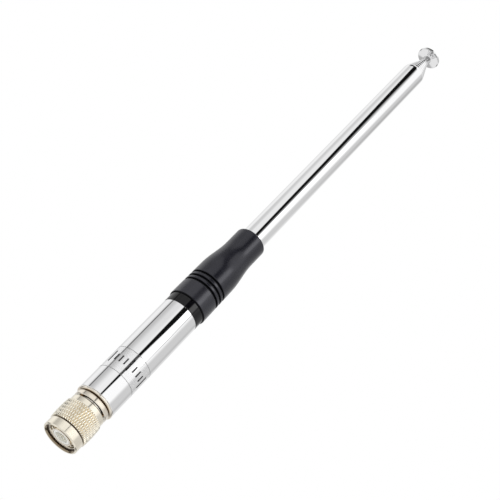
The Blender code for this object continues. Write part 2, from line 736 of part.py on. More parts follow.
def build():
    base = new_empty("antenna_base")
    for make in (connector_body, connector_gasket, contact_insulator, center_pin, snap_ring, barrel,
                 coil_former, loading_coil, rod_stud, insulator_bush, boot):
        make(base)
    coupling_nut(new_empty("nut_axis", base))
    tube_section(1, base)
    carrier = base
    for number in range(2, SECTIONS + 1):
        carrier = new_empty(f"slide_{number}", carrier)
        contact_spring(number, carrier)
        if number < SECTIONS:
            tube_section(number, carrier)
    solid_rod(carrier)
    tip_button(carrier)


clear_scene()
ANTENNA = new_collection("telescopic_antenna")
CUTTERS = new_collection("cutters")
build()
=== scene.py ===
"""Looks of the telescopic antenna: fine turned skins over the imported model, their finishes,
a plain bright studio and the camera. Lengths are in metres, angles in degrees."""

import math

import bpy
import numpy as np
from mathutils import Matrix, Vector


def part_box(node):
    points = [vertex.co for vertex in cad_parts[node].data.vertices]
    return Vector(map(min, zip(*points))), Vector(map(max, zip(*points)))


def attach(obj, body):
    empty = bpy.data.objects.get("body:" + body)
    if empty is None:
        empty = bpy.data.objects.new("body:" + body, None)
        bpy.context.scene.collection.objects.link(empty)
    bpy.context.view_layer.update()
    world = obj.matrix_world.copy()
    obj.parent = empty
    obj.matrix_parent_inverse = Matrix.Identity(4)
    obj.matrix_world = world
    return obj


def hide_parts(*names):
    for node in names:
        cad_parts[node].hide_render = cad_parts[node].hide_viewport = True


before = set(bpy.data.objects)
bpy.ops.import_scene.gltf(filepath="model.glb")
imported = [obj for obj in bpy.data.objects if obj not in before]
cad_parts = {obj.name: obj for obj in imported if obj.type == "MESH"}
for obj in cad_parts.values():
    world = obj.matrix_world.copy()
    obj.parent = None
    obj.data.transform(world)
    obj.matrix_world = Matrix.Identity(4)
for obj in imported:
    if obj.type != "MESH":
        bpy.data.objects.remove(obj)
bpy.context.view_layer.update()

MM = 0.001

# turned skins
SIDES = 128
SECTION_SIDES = 96
PIN_SIDES = 64
EDGE = 0.07 * MM
FINE_EDGE = 0.03 * MM
BODY_EDGE = 0.1 * MM
BUSH_EDGE = 0.12 * MM
BOOT_EDGE = 0.35 * MM
CORNER_ANGLE = math.radians(22)
FILLET_STEPS = 4
FILLET_SHARE = 0.3
GRAIN = 1e-6

# numbers of the sections that slide
SECTIONS = range(2, 9)

# coupling nut
NUT_BAND_LENGTH = 3.4 * MM
NUT_BAND_RADIUS = 7.05 * MM
NUT_GROOVE_WIDTH = 0.5 * MM
NUT_GROOVE_FLOOR = 0.25 * MM
NUT_GROOVE_DEPTH = 0.3 * MM
NUT_EDGE = 0.3 * MM
NUT_TAIL_RADIUS = 6.85 * MM
NUT_BORE_RADIUS = 5.55 * MM
MOUTH_CHAMFER = 0.45 * MM
COUNTERBORE_RADIUS = 6.0 * MM
COUNTERBORE_DEPTH = 1.15 * MM
THREAD_BORE_RADIUS = 5.25 * MM
THREAD_LENGTH = 7.0 * MM
THREAD_DEPTH = 0.31 * MM
THREAD_PITCH = 25.4 * MM / 28
THREAD_STEPS = 8
THREAD_SIDES = 200
THREAD_RUNOUT = 0.35 * MM
THREAD_CREST = 0.16
THREAD_OVERLAP = 0.01 * MM
KNURL_LENGTH = 7.95 * MM
KNURL_RADIUS = 7.5 * MM
KNURL_CROWN = 0.16 * MM
KNURL_DEPTH = 0.3 * MM
KNURL_ROUND = 50
KNURL_ROWS = 5
KNURL_GROOVE = 0.46
KNURL_SHARP = math.radians(55)
KNURL_LINES = (0.3, 0.85, 1.15)

# painted shade and painted light of the nut: where each begins and where it is full, by depth below the
# knurl's crests, by radius, or by height
ROOT_SHADE_DEPTHS = (0.08 * MM, 0.28 * MM)
NUT_GROOVE_SHADE_RADII = (7.0 * MM, 6.8 * MM)
MOUTH_SHADE_SHARE = 0.9
MOUTH_SHADE_FADE = 0.02 * MM
MOUTH_WALL_HEIGHTS = (0.55 * MM, 0.80 * MM)
MOUTH_STEP_RADII = (5.60 * MM, 5.70 * MM)
MOUTH_STEP_HEIGHTS = (1.12 * MM, 1.20 * MM)
TAIL_HEIGHTS = (8 * MM, 9 * MM)
TAIL_RADII = (6.70 * MM, 6.55 * MM)

# painted shade and painted light of the plug body, given in the same way
NECK_SHADE_RADII = (6.84 * MM, 6.65 * MM)
NECK_START = 16.0 * MM
COLLAR_SHADE_HEIGHTS = (16.2 * MM, 16.8 * MM)
FLANGE_HEIGHTS = (17.40 * MM, 17.46 * MM)
GAP_RADII = (6.78 * MM, 6.65 * MM)
GAP_HEIGHTS = (8.5 * MM, 15.3 * MM)
GAP_PAINTED_LIGHT = (0.90, 0.885, 0.85)

# black boot, and its painted light and painted shade, measured from its foot, its top and the middle of each
# groove
BOOT_START = 68.15 * MM
BOOT_TOP = 107.94 * MM
GROOVE_FIRST = BOOT_START + 7.9 * MM
GROOVE_PITCH = 2.1 * MM
GROOVE_WIDTH = 1.0 * MM
GROOVES = 3
BOOT_PAINTED_LIGHT_FADE = 1 * MM
BOOT_FOOT_PAINTED_SHADE = (0.5 * MM, 0.2 * MM)
BOOT_TOP_PAINTED_SHADE = (0.6 * MM, 0.1 * MM)
GROOVE_PAINTED_SHADE = (0.56, 0.44)

# clear label on the barrel
LABEL_START = 28.25 * MM
LABEL_END = 38.35 * MM
LABEL_GAP = 0.008 * MM
LABEL_FILM = 0.05 * MM
LABEL_EDGE = LABEL_FILM / 4
LABEL_LIP = 0.22 * MM
TICK_HEIGHT = 0.012 * MM
TICK_WIDTH = 0.5 * MM
TICK_MIDDLE = 33.35 * MM
TICK_LONG = 5.2 * MM
TICK_SHORT = 2.8 * MM
TICK_FIRST = -64.0
TICK_PITCH = 16.0
TICKS = 9
TICKS_PER_LONG = 4
TICK_SIDES = 6

# range of the noise that a finish follows
NOISE_RANGE = (0.3, 0.7)
TONE_RANGE = (0.35, 0.75)

# studio
BOUNCES = 16
FLOOR_HEIGHT = -0.45
FLOOR_RADIUS = 2.5
FLOOR_SIDES = 96
BAND_ANGLE = 120.0
BAND_SOFT = 2.0
BAND_SHADE = 14
BAND_TOP = 54
BAND_TOP_FADE = 2

# camera
CAMERA_NEAR = 1 * MM
CAMERA_FAR = 100
CAMERA_PLACE = Vector((0.00221, -0.3946, -0.14955))
CAMERA_RISE = 0.5417
CAMERA_ROLL = 46.07
CAMERA_FOCAL = 1257.0
FRAME_WIDTH = 500
SENSOR_WIDTH = 36.0


def linear(shade):
    """Light that shows as this shade of a 0 to 255 screen scale."""
    share = shade / 255
    if share <= 0.04045:
        return share / 12.92
    return ((share + 0.055) / 1.055) ** 2.4


def grey(shade):
    value = linear(shade)
    return (value, value, value, 1.0)


def add(tree, kind, settings=None, **inputs):
    """A new node. Settings are its properties, and inputs are values or sockets by input name,
    or by number as in_0, in_1."""
    node = tree.nodes.new("ShaderNode" + kind)
    for key, value in (settings or {}).items():
        setattr(node, key, value)
    for key, value in inputs.items():
        name = int(key[3:]) if key.startswith("in_") else key.replace("_", " ")
        if isinstance(value, bpy.types.NodeSocket):
            tree.links.new(value, node.inputs[name])
        else:
            node.inputs[name].default_value = value
    return node


def maths(tree, operation, *values):
    """The result of one sum on sockets or numbers."""
    inputs = {f"in_{i}": value for i, value in enumerate(values)}
    return add(tree, "Math", {"operation": operation}, **inputs).outputs[0]


def scaled(tree, value, low, high, to_low=0.0, to_high=1.0):
    """The value moved from one range to another and held at its ends."""
    return add(tree, "MapRange", None, Value=value, From_Min=low, From_Max=high,
               To_Min=to_low, To_Max=to_high).outputs[0]


def stops(tree, value, low, high, table):
    """A curve through (place, colour) stops between low and high."""
    ramp = add(tree, "ValToRGB", None, Fac=scaled(tree, value, low, high))
    elements = ramp.color_ramp.elements
    ends = (elements[0], elements[-1])
    for stop, (place, colour) in zip(ends, (table[0], table[-1])):
        stop.position = (place - low) / (high - low)
        stop.color = colour
    for place, colour in table[1:-1]:
        elements.new((place - low) / (high - low)).color = colour
    return ramp.outputs[0]


def object_point(tree):
    return add(tree, "TexCoord").outputs["Object"]


def stretched(tree, factors):
    """The object's own coordinates, scaled along x, y and z."""
    return add(tree, "Mapping", None, Vector=object_point(tree), Scale=factors).outputs[0]


def noise(tree, factors, detail=3.0, rough=0.5):
    """Noise over the object's own coordinates, its scale per metre along each axis."""
    return add(tree, "TexNoise", None, Vector=stretched(tree, factors), Scale=1.0, Detail=detail,
               Roughness=rough).outputs[0]


def mixed(tree, share, first, second):
    """A colour between two, by a share from 0 to 1."""
    node = add(tree, "Mix", {"data_type": "RGBA"}, Factor=share)
    for number, colour in ((6, first), (7, second)):
        if isinstance(colour, bpy.types.NodeSocket):
            tree.links.new(colour, node.inputs[number])
        else:
            node.inputs[number].default_value = (*colour[:3], 1.0)
    return node.outputs[2]


def plain_material(name, colour, metallic, roughness, **sockets):
    """A node material, and its tree and shader for what is added to it."""
    material = bpy.data.materials.new(name)
    material.use_nodes = True
    tree = material.node_tree
    shader = tree.nodes["Principled BSDF"]
    shader.inputs["Base Color"].default_value = (*colour, 1.0)
    shader.inputs["Metallic"].default_value = metallic
    shader.inputs["Roughness"].default_value = roughness
    for key, value in sockets.items():
        shader.inputs[key.replace("_", " ")].default_value = value
    return material, tree, shader


def bump(tree, shader, height, distance):
    """Relief on a shader, distance metres deep."""
    relief = add(tree, "Bump", None, Height=height, Distance=distance, Strength=1.0)
    tree.links.new(relief.outputs[0], shader.inputs["Normal"])


def vary(tree, shader, name, share, low, high):
    """A shader's input between two values or colours by a share from 0 to 1."""
    if isinstance(low, tuple):
        tree.links.new(mixed(tree, share, low, high), shader.inputs[name])
    else:
        tree.links.new(scaled(tree, share, *NOISE_RANGE, low, high), shader.inputs[name])


def chrome(name, colour, roughness):
    """Bright plating on drawn tube: fine marks along it and a faint haze."""
    material, tree, shader = plain_material(name, colour, 1.0, roughness)
    marks = noise(tree, (5200, 5200, 60))
    haze = noise(tree, (260, 260, 90))
    vary(tree, shader, "Roughness", haze, roughness * 0.7, roughness * 1.5)
    vary(tree, shader, "Base Color", marks, tuple(c * 0.97 for c in colour), colour)
    bump(tree, shader, marks, 0.0004 * MM)
    return material


def nickel(name, colour, dark, roughness):
    """Nickel plate on turned brass: faint turning rings and a warm tone that comes and goes."""
    material, tree, shader = plain_material(name, colour, 1.0, roughness)
    rings = noise(tree, (120, 120, 9000), 2.0)
    tone = noise(tree, (420, 420, 420), 4.0, 0.6)
    vary(tree, shader, "Base Color", scaled(tree, tone, *TONE_RANGE), colour, dark)
    vary(tree, shader, "Roughness", tone, roughness * 0.8, roughness * 1.3)
    bump(tree, shader, rings, 0.0012 * MM)
    return material


def radius_and_height(tree):
    """Distance from the object's own axis, and height along it."""
    point = object_point(tree)
    across = add(tree, "VectorMath", {"operation": "MULTIPLY"}, in_0=point, in_1=(1.0, 1.0, 0.0))
    radius = add(tree, "VectorMath", {"operation": "LENGTH"}, in_0=across.outputs[0]).outputs["Value"]
    return radius, add(tree, "SeparateXYZ", None, Vector=point).outputs[2]


def product(tree, first, second):
    return maths(tree, "MULTIPLY", first, second)


def within_heights(tree, height, low, high):
    """1 between two heights, and 0 outside them."""
    return product(tree, maths(tree, "GREATER_THAN", height, low), maths(tree, "LESS_THAN", height, high))


def tinted(material, share, colour):
    """Lay a colour over the material's own by a share from 0 to 1."""
    tree = material.node_tree
    base = tree.nodes["Principled BSDF"].inputs["Base Color"]
    tree.links.new(mixed(tree, share, base.links[0].from_socket, colour), base)


def nut_nickel():
    """Nickel of the nut, with painted light on the knurl and in the tail's bore, and painted shade in brown
    in the knurl's roots, in the groove and inside the mouth.
    """
    material = nickel("nickel", (0.99, 0.93, 0.80), (0.96, 0.89, 0.74), 0.12)
    tree = material.node_tree
    radius, height = radius_and_height(tree)
    start = NUT_BAND_LENGTH + NUT_GROOVE_WIDTH
    middle = start + KNURL_LENGTH / 2
    away = maths(tree, "DIVIDE", maths(tree, "SUBTRACT", height, middle), KNURL_LENGTH / 2)
    away = maths(tree, "ABSOLUTE", away)
    crown = product(tree, maths(tree, "POWER", away, 2.0), KNURL_CROWN)
    crest = maths(tree, "SUBTRACT", KNURL_RADIUS, crown)
    depth = maths(tree, "SUBTRACT", crest, radius)
    knurled = maths(tree, "LESS_THAN", away, 1.0)
    # painted light: the knurled band is painted a lighter, even cream than the rest of the nut
    tinted(material, knurled, (1.0, 0.95, 0.82))
    # painted shade: brown laid into the knurl's roots, full deep below the crests
    roots = product(tree, knurled, scaled(tree, depth, *ROOT_SHADE_DEPTHS))
    tinted(material, roots, (0.82, 0.71, 0.52))
    # painted shade: near-black brown in the groove between the band and the knurl
    groove = product(tree, within_heights(tree, height, NUT_BAND_LENGTH, start),
                     scaled(tree, radius, *NUT_GROOVE_SHADE_RADII))
    tinted(material, groove, (0.10, 0.07, 0.045))
    # painted shade inside the mouth: brown on the chamfer and low on the counterbore wall, near black higher
    # on the wall, lighter brown on the step at its top
    inside = scaled(tree, radius, COUNTERBORE_RADIUS + MOUTH_CHAMFER,
                    COUNTERBORE_RADIUS + MOUTH_SHADE_SHARE * MOUTH_CHAMFER)
    short_of_step = scaled(tree, height, COUNTERBORE_DEPTH, COUNTERBORE_DEPTH - MOUTH_SHADE_FADE)
    tinted(material, product(tree, inside, short_of_step), (0.34, 0.28, 0.20))
    wall = product(tree, scaled(tree, height, *MOUTH_WALL_HEIGHTS), short_of_step)
    tinted(material, product(tree, inside, wall), (0.045, 0.028, 0.018))
    step = product(tree, scaled(tree, radius, *MOUTH_STEP_RADII),
                   within_heights(tree, height, *MOUTH_STEP_HEIGHTS))
    tinted(material, product(tree, inside, step), (0.40, 0.33, 0.26))
    # painted light: the bore of the nut's tail is painted a pale, cooler nickel where it faces the gap behind
    # the nut
    tail = product(tree, scaled(tree, height, *TAIL_HEIGHTS), scaled(tree, radius, *TAIL_RADII))
    tinted(material, tail, GAP_PAINTED_LIGHT)
    return material


def body_nickel():
    """Nickel of the plug body, with painted shade in brown on its collar's top and in its neck, a plain pale
    flange above, and painted light, pale, in the gap behind the nut.
    """
    material = nickel("nickel_body", (0.96, 0.89, 0.78), (0.93, 0.85, 0.72), 0.10)
    tree = material.node_tree
    radius, height = radius_and_height(tree)
    # painted shade: darker brown nickel from the top of the collar up, stopped at the flange, which is
    # painted a plain pale nickel
    tinted(material, scaled(tree, height, *COLLAR_SHADE_HEIGHTS), (0.74, 0.66, 0.54))
    tinted(material, scaled(tree, height, *FLANGE_HEIGHTS), (0.96, 0.90, 0.80))
    # painted shade: dark brown in the neck between the collar and the flange
    neck = product(tree, scaled(tree, radius, *NECK_SHADE_RADII),
                   maths(tree, "GREATER_THAN", height, NECK_START))
    tinted(material, neck, (0.13, 0.08, 0.05))
    # painted light: the body inside the gap behind the nut is painted the same pale, cooler nickel
    gap = product(tree, scaled(tree, radius, *GAP_RADII), within_heights(tree, height, *GAP_HEIGHTS))
    tinted(material, gap, GAP_PAINTED_LIGHT)
    return material


def plastic(name, colour, shade, roughness, grain, depth, **sockets):
    """Moulded plastic or rubber with a fine grain."""
    material, tree, shader = plain_material(name, colour, 0.0, roughness, **sockets)
    cloud = noise(tree, (300, 300, 300))
    vary(tree, shader, "Base Color", scaled(tree, cloud, *NOISE_RANGE), colour, shade)
    vary(tree, shader, "Roughness", cloud, roughness * 0.9, roughness * 1.1)
    bump(tree, shader, noise(tree, (grain, grain, grain)), depth)
    return material


def boot_rubber():
    """Satin black of the boot, with painted light below its grooves and painted shade, dead black, in them
    and at its ends.
    """
    material = plastic("black_satin", (0.008, 0.008, 0.013), (0.011, 0.011, 0.017), 0.22, 3000, 0.004 * MM,
                       IOR=1.54, Specular_Tint=(0.93, 0.93, 1.0, 1.0))
    tree = material.node_tree
    height = radius_and_height(tree)[1]
    # painted light: the boot is painted a lighter black below its grooves
    tinted(material, scaled(tree, height, GROOVE_FIRST, GROOVE_FIRST - BOOT_PAINTED_LIGHT_FADE),
           (0.019, 0.019, 0.025))
    # painted shade: dead black at the boot's foot, at its top and in each groove, with its reflection dimmed
    # there too
    foot = scaled(tree, height, *(BOOT_START + up for up in BOOT_FOOT_PAINTED_SHADE))
    top = scaled(tree, height, *(BOOT_TOP - down for down in BOOT_TOP_PAINTED_SHADE))
    share = maths(tree, "ADD", foot, top)
    for number in range(GROOVES):
        middle = GROOVE_FIRST + number * GROOVE_PITCH
        off = maths(tree, "ABSOLUTE", maths(tree, "SUBTRACT", height, middle))
        groove = scaled(tree, off, *(part * GROOVE_WIDTH for part in GROOVE_PAINTED_SHADE))
        share = maths(tree, "ADD", share, groove)
    tinted(material, share, (0.002, 0.002, 0.003))
    shader = tree.nodes["Principled BSDF"]
    tree.links.new(scaled(tree, share, 0, 1, 0.5, 0.1), shader.inputs["Specular IOR Level"])
    return material


def clear_film(name, alpha, shade):
    """Clear or grey film that lets the chrome below show through."""
    material, tree, shader = plain_material(name, (shade, shade, shade), 0.0, 0.12, Alpha=alpha)
    cloud = noise(tree, (500, 500, 500))
    vary(tree, shader, "Base Color", cloud, (shade * 0.96,) * 3, (shade,) * 3)
    return material


def print_ink(name):
    material, tree, shader = plain_material(name, (0.006, 0.006, 0.007), 0.0, 0.45)
    vary(tree, shader, "Base Color", noise(tree, (2500, 2500, 2500)), (0.004, 0.004, 0.005),
         (0.012, 0.012, 0.013))
    return material


def materials():
    """Every finish by name."""
    return {
        "nickel": nut_nickel(),
        "nickel_body": body_nickel(),
        "barrel_chrome": chrome("barrel_chrome", (0.965, 0.965, 0.97), 0.035),
        "rod_chrome": chrome("rod_chrome", (0.965, 0.965, 0.97), 0.035),
        "button_chrome": chrome("button_chrome", (0.95, 0.95, 0.955), 0.05),
        "gilt_brass": nickel("gilt_brass", (0.95, 0.73, 0.36), (0.88, 0.64, 0.28), 0.14),
        "stud_brass": nickel("stud_brass", (0.83, 0.67, 0.36), (0.72, 0.55, 0.27), 0.25),
        "spring_bronze": nickel("spring_bronze", (0.80, 0.55, 0.36), (0.66, 0.42, 0.26), 0.25),
        "copper_wire": nickel("copper_wire", (0.80, 0.38, 0.20), (0.66, 0.27, 0.12), 0.22),
        "white_insulator": plastic("white_insulator", (0.93, 0.93, 0.89), (0.90, 0.90, 0.85), 0.36,
                                   2200, 0.004 * MM),
        "former_plastic": plastic("former_plastic", (0.62, 0.60, 0.53), (0.56, 0.54, 0.47), 0.42,
                                  1500, 0.005 * MM),
        "black_gloss": plastic("black_gloss", (0.0032, 0.0030, 0.0040), (0.0045, 0.0043, 0.0055),
                               0.06, 900, 0.0005 * MM, IOR=1.38),
        "black_satin": boot_rubber(),
        "gasket_rubber": plastic("gasket_rubber", (0.46, 0.45, 0.42), (0.40, 0.39, 0.36),
                                 0.62, 2500, 0.01 * MM),
        "label_film": clear_film("label_film", 0.03, 0.95),
        "label_lip": clear_film("label_lip", 0.30, 0.30),
        "label_ink": print_ink("label_ink"),
    }


def section_of(node):
    """Outline of a turned node in the plane y = 0 as (radius, height) points, and if it closes.
    One that doesn't close starts and ends on the axis."""
    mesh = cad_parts[node].data
    place = {}
    for vertex in mesh.vertices:
        x, y, z = vertex.co
        if abs(y) < 2 * GRAIN and x > -GRAIN:
            place[vertex.index] = (round(x / GRAIN), round(z / GRAIN))
    joined = {}
    for edge in mesh.edges:
        ends = [place.get(i) for i in edge.vertices]
        if None not in ends and ends[0] != ends[1]:
            joined.setdefault(ends[0], set()).add(ends[1])
            joined.setdefault(ends[1], set()).add(ends[0])
    tips = sorted(point for point in joined if len(joined[point]) == 1)
    here = tips[0] if tips else min(joined)
    walk = [here]
    while True:
        onward = sorted(joined[here] - set(walk))
        if not onward:
            break
        here = onward[0]
        walk.append(here)
    if tips:
        ends = [(0, walk[0][1]), (0, walk[-1][1])]
        walk = [ends[0], *(point for point in walk if point not in ends), ends[1]]
    return [(r * GRAIN, z * GRAIN) for r, z in walk], not tips


def signed_area(points):
    total = 0.0
    for (r0, z0), (r1, z1) in zip(points, points[1:] + points[:1]):
        total += r0 * z1 - r1 * z0
    return total / 2


def rounded(points, closed, edge):
    """The outline with its sharp corners filleted, as (radius, height, normal radius, normal
    height). The normals point out of the metal, and flats keep their own."""
    if signed_area(points) < 0:
        points = points[::-1]
    count = len(points)
    steps = []
    for i, (r, z) in enumerate(points):
        r1, z1 = points[(i + 1) % count]
        length = math.hypot(r1 - r, z1 - z)
        steps.append(((r1 - r) / length, (z1 - z) / length, length))
    result = []
    for i, (r, z) in enumerate(points):
        if not closed and i in (0, count - 1) and r < GRAIN:
            flat = steps[0] if i == 0 else steps[-2]
            result.append((0.0, z, 0.0, math.copysign(1.0, -flat[0])))
            continue
        before = steps[i - 1]
        after = steps[i]
        turn = math.atan2(before[0] * after[1] - before[1] * after[0],
                          before[0] * after[0] + before[1] * after[1])
        if abs(turn) < CORNER_ANGLE:
            weight0 = before[2] ** 2
            weight1 = after[2] ** 2
            nr = before[1] * weight0 + after[1] * weight1
            nz = -before[0] * weight0 - after[0] * weight1
            size = math.hypot(nr, nz)
            result.append((r, z, nr / size, nz / size))
            continue
        half = math.tan(abs(turn) / 2)
        cut = min(edge * half, FILLET_SHARE * before[2], FILLET_SHARE * after[2])
        radius = cut / half
        side = math.copysign(1.0, turn)
        start = (r - before[0] * cut, z - before[1] * cut)
        centre = (start[0] - side * before[1] * radius, start[1] + side * before[0] * radius)
        angle0 = math.atan2(-before[0], before[1])
        for k in range(FILLET_STEPS + 1):
            angle = angle0 + turn * k / FILLET_STEPS
            nr = math.cos(angle)
            nz = math.sin(angle)
            result.append((centre[0] + side * nr * radius, centre[1] + side * nz * radius, nr, nz))
    return result


def new_piece(name, points, faces, normals=None):
    mesh = bpy.data.meshes.new(name)
    mesh.from_pydata(points, [], faces)
    mesh.validate()
    mesh.shade_smooth()
    if normals is not None:
        mesh.normals_split_custom_set_from_vertices(normals)
    piece = bpy.data.objects.new(name, mesh)
    bpy.context.scene.collection.objects.link(piece)
    return piece


def turned(name, outline, closed, sides):
    """A turned skin from an outline of (radius, height, normal radius, normal height)."""
    points = []
    normals = []
    rings = []
    for r, z, nr, nz in outline:
        count = 1 if r < GRAIN else sides
        rings.append((len(points), count))
        for i in range(count):
            angle = math.tau * i / sides
            points.append((r * math.cos(angle), r * math.sin(angle), z))
            normals.append((nr * math.cos(angle), nr * math.sin(angle), nz))
    faces = []
    pairs = list(zip(rings, rings[1:]))
    if closed:
        pairs.append((rings[-1], rings[0]))
    for (first, count0), (second, count1) in pairs:
        for i in range(sides):
            j = (i + 1) % sides
            corners = [first + i % count0, first + j % count0, second + j % count1, second + i % count1]
            faces.append(tuple(dict.fromkeys(corners)))
    return new_piece(name, points, [f for f in faces if len(f) > 2], normals)


def dress(piece, node, body, finish):
    """Put a piece in place of a node, on its body and with its finish."""
    piece.data.materials.append(finish)
    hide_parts(node)
    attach(piece, body)


def returned(node, body, finish, edge=EDGE, sides=SIDES):
    """The node's own outline turned again with more sides and rounded edges."""
    points, closed = section_of(node)
    piece = turned(node + "_skin", rounded(points, closed, edge), closed, sides)
    dress(piece, node, body, finish)
    return piece


def knurl_skin(start, root):
    """The rolled diamonds: a lattice whose lines run along both ways of grooves."""
    half = KNURL_GROOVE / 2
    lines = [0.0, *(line * half for line in KNURL_LINES), 0.5]
    lines += [1 - line for line in lines[-2:0:-1]]
    steps = len(lines)
    rings = KNURL_ROWS * steps
    count = KNURL_ROUND * steps

    def place(number):
        return number // steps + np.take(lines, number % steps)

    def cut(phase):
        return np.clip(1 - np.abs(phase - np.round(phase)) / half, 0, 1)

    j = np.arange(count)
    points = []
    for ring in [0, *range(rings + 1), rings]:
        rise = place(j + ring)
        fall = place(j)
        angle = math.tau * (rise + fall) / (2 * KNURL_ROUND)
        height = (rise - fall) * KNURL_LENGTH / KNURL_ROWS
        crown = KNURL_CROWN * (2 * height / KNURL_LENGTH - 1) ** 2
        radius = KNURL_RADIUS - crown - KNURL_DEPTH * np.maximum(cut(rise), cut(fall))
        if len(points) in (0, count * (rings + 2)):
            radius = np.full(count, root)
        points += list(zip(radius * np.cos(angle), radius * np.sin(angle), start + height))
    faces = []
    for i in range(count):
        after = (i + 1) % count
        column = [count * (ring + 1) + i for ring in range(-1, rings + 2)]
        beside = [count * (ring + 1) + after for ring in range(-1, rings + 2)]
        faces.append((column[1], column[0], beside[0], beside[1]))
        faces.append((column[1], beside[1], column[2]))
        for k in range(2, rings + 1):
            faces.append((column[k], beside[k - 1], beside[k], column[k + 1]))
        faces.append((column[-2], beside[-3], beside[-2]))
        faces.append((column[-2], beside[-2], beside[-1], column[-1]))
    piece = new_piece("nut_knurl", points, faces)
    piece.data.set_sharp_from_angle(angle=KNURL_SHARP)
    return piece


def thread_skin():
    """The inner thread: one ridge wound down the bore, run out at both ends."""
    turn = np.arange(THREAD_SIDES) / THREAD_SIDES
    angle = turn * math.tau
    step = THREAD_PITCH / THREAD_STEPS
    outer = THREAD_BORE_RADIUS + THREAD_DEPTH + THREAD_OVERLAP
    points = list(zip(outer * np.cos(angle), outer * np.sin(angle), np.full(THREAD_SIDES, COUNTERBORE_DEPTH)))
    rings = int((THREAD_LENGTH - COUNTERBORE_DEPTH) / step)
    for k in range(rings + 1):
        height = COUNTERBORE_DEPTH + k * step
        phase = height / THREAD_PITCH - turn
        off = np.abs(phase - np.round(phase)) * 2
        depth = np.clip((1 - off - THREAD_CREST) / (1 - 2 * THREAD_CREST), 0, 1)
        run = min(1, k * step / THREAD_RUNOUT, (THREAD_LENGTH - height) / THREAD_RUNOUT)
        radius = THREAD_BORE_RADIUS + THREAD_DEPTH * (1 - run + run * depth)
        if k == 0:
            radius = np.full(THREAD_SIDES, THREAD_BORE_RADIUS)
        points += list(zip(radius * np.cos(angle), radius * np.sin(angle), np.full(THREAD_SIDES, height)))
    faces = []
    for k in range(rings + 1):
        for i in range(THREAD_SIDES):
            j = (i + 1) % THREAD_SIDES
            low, high = k * THREAD_SIDES, (k + 1) * THREAD_SIDES
            faces.append((low + i, high + i, high + j, low + j))
    return new_piece("nut_thread", points, faces)


def coupling_nut(finish):
    """The nut: its turned skin, and on it the rolled diamonds and the inner thread."""
    slope = (NUT_GROOVE_WIDTH - NUT_GROOVE_FLOOR) / 2
    start = NUT_BAND_LENGTH + NUT_GROOVE_WIDTH
    end = start + KNURL_LENGTH
    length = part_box("coupling_nut")[1][2]
    root = KNURL_RADIUS - KNURL_CROWN - KNURL_DEPTH
    groove = NUT_BAND_RADIUS - NUT_GROOVE_DEPTH
    bore = THREAD_BORE_RADIUS + THREAD_DEPTH + THREAD_OVERLAP
    outline = [
        (bore, COUNTERBORE_DEPTH),
        (COUNTERBORE_RADIUS, COUNTERBORE_DEPTH),
        (COUNTERBORE_RADIUS, MOUTH_CHAMFER),
        (COUNTERBORE_RADIUS + MOUTH_CHAMFER, 0.0),
        (NUT_BAND_RADIUS - NUT_EDGE, 0.0),
        (NUT_BAND_RADIUS, NUT_EDGE),
        (NUT_BAND_RADIUS, NUT_BAND_LENGTH),
        (groove, NUT_BAND_LENGTH + slope),
        (groove, start - slope),
        (root, start),
        (root, end),
        (NUT_TAIL_RADIUS, end + NUT_EDGE),
        (NUT_TAIL_RADIUS, length - NUT_EDGE),
        (NUT_TAIL_RADIUS - NUT_EDGE, length),
        (NUT_BORE_RADIUS, length),
        (NUT_BORE_RADIUS, THREAD_LENGTH),
        (bore, THREAD_LENGTH),
    ]
    piece = turned("coupling_nut_skin", rounded(outline, True, EDGE), True, SIDES)
    dress(piece, "coupling_nut", "nut", finish)
    for piece in (knurl_skin(start, root - THREAD_OVERLAP), thread_skin()):
        piece.data.materials.append(finish)
        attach(piece, "nut")


def label(finishes):
    """Clear label round the barrel: film, its two lips, and a plain scale of ticks."""
    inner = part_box("barrel")[1][0] + LABEL_GAP
    outer = inner + LABEL_FILM
    bands = [("label_film", LABEL_START + LABEL_LIP, LABEL_END - LABEL_LIP, "label_film"),
             ("label_lip_low", LABEL_START, LABEL_START + LABEL_LIP, "label_lip"),
             ("label_lip_high", LABEL_END - LABEL_LIP, LABEL_END, "label_lip")]
    for name, start, end, finish in bands:
        section = [(inner, start), (outer, start), (outer, end), (inner, end)]
        piece = turned(name, rounded(section, True, LABEL_EDGE), True, SIDES)
        piece.data.materials.append(finishes[finish])
        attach(piece, "base")
    piece = label_ticks(outer)
    piece.data.materials.append(finishes["label_ink"])
    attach(piece, "base")


def label_ticks(radius):
    """Raised plain ticks on the label, every fourth one longer."""
    points = []
    faces = []
    for k in range(TICKS):
        middle = math.radians(TICK_FIRST + k * TICK_PITCH - 90)
        half = TICK_WIDTH / radius / 2
        size = TICK_LONG if k % TICKS_PER_LONG == 0 else TICK_SHORT
        for i in range(TICK_SIDES):
            angle0 = middle - half + 2 * half * i / TICK_SIDES
            angle1 = middle - half + 2 * half * (i + 1) / TICK_SIDES
            first = len(points)
            for r in (radius, radius + TICK_HEIGHT):
                for angle in (angle0, angle1):
                    for z in (TICK_MIDDLE - size / 2, TICK_MIDDLE + size / 2):
                        points.append((r * math.cos(angle), r * math.sin(angle), z))
            faces += [tuple(first + c for c in corners) for corners in
                      ((4, 6, 7, 5), (0, 1, 3, 2), (0, 4, 5, 1), (2, 3, 7, 6), (0, 2, 6, 4), (1, 5, 7, 3))]
    return new_piece("label_ticks", points, faces)


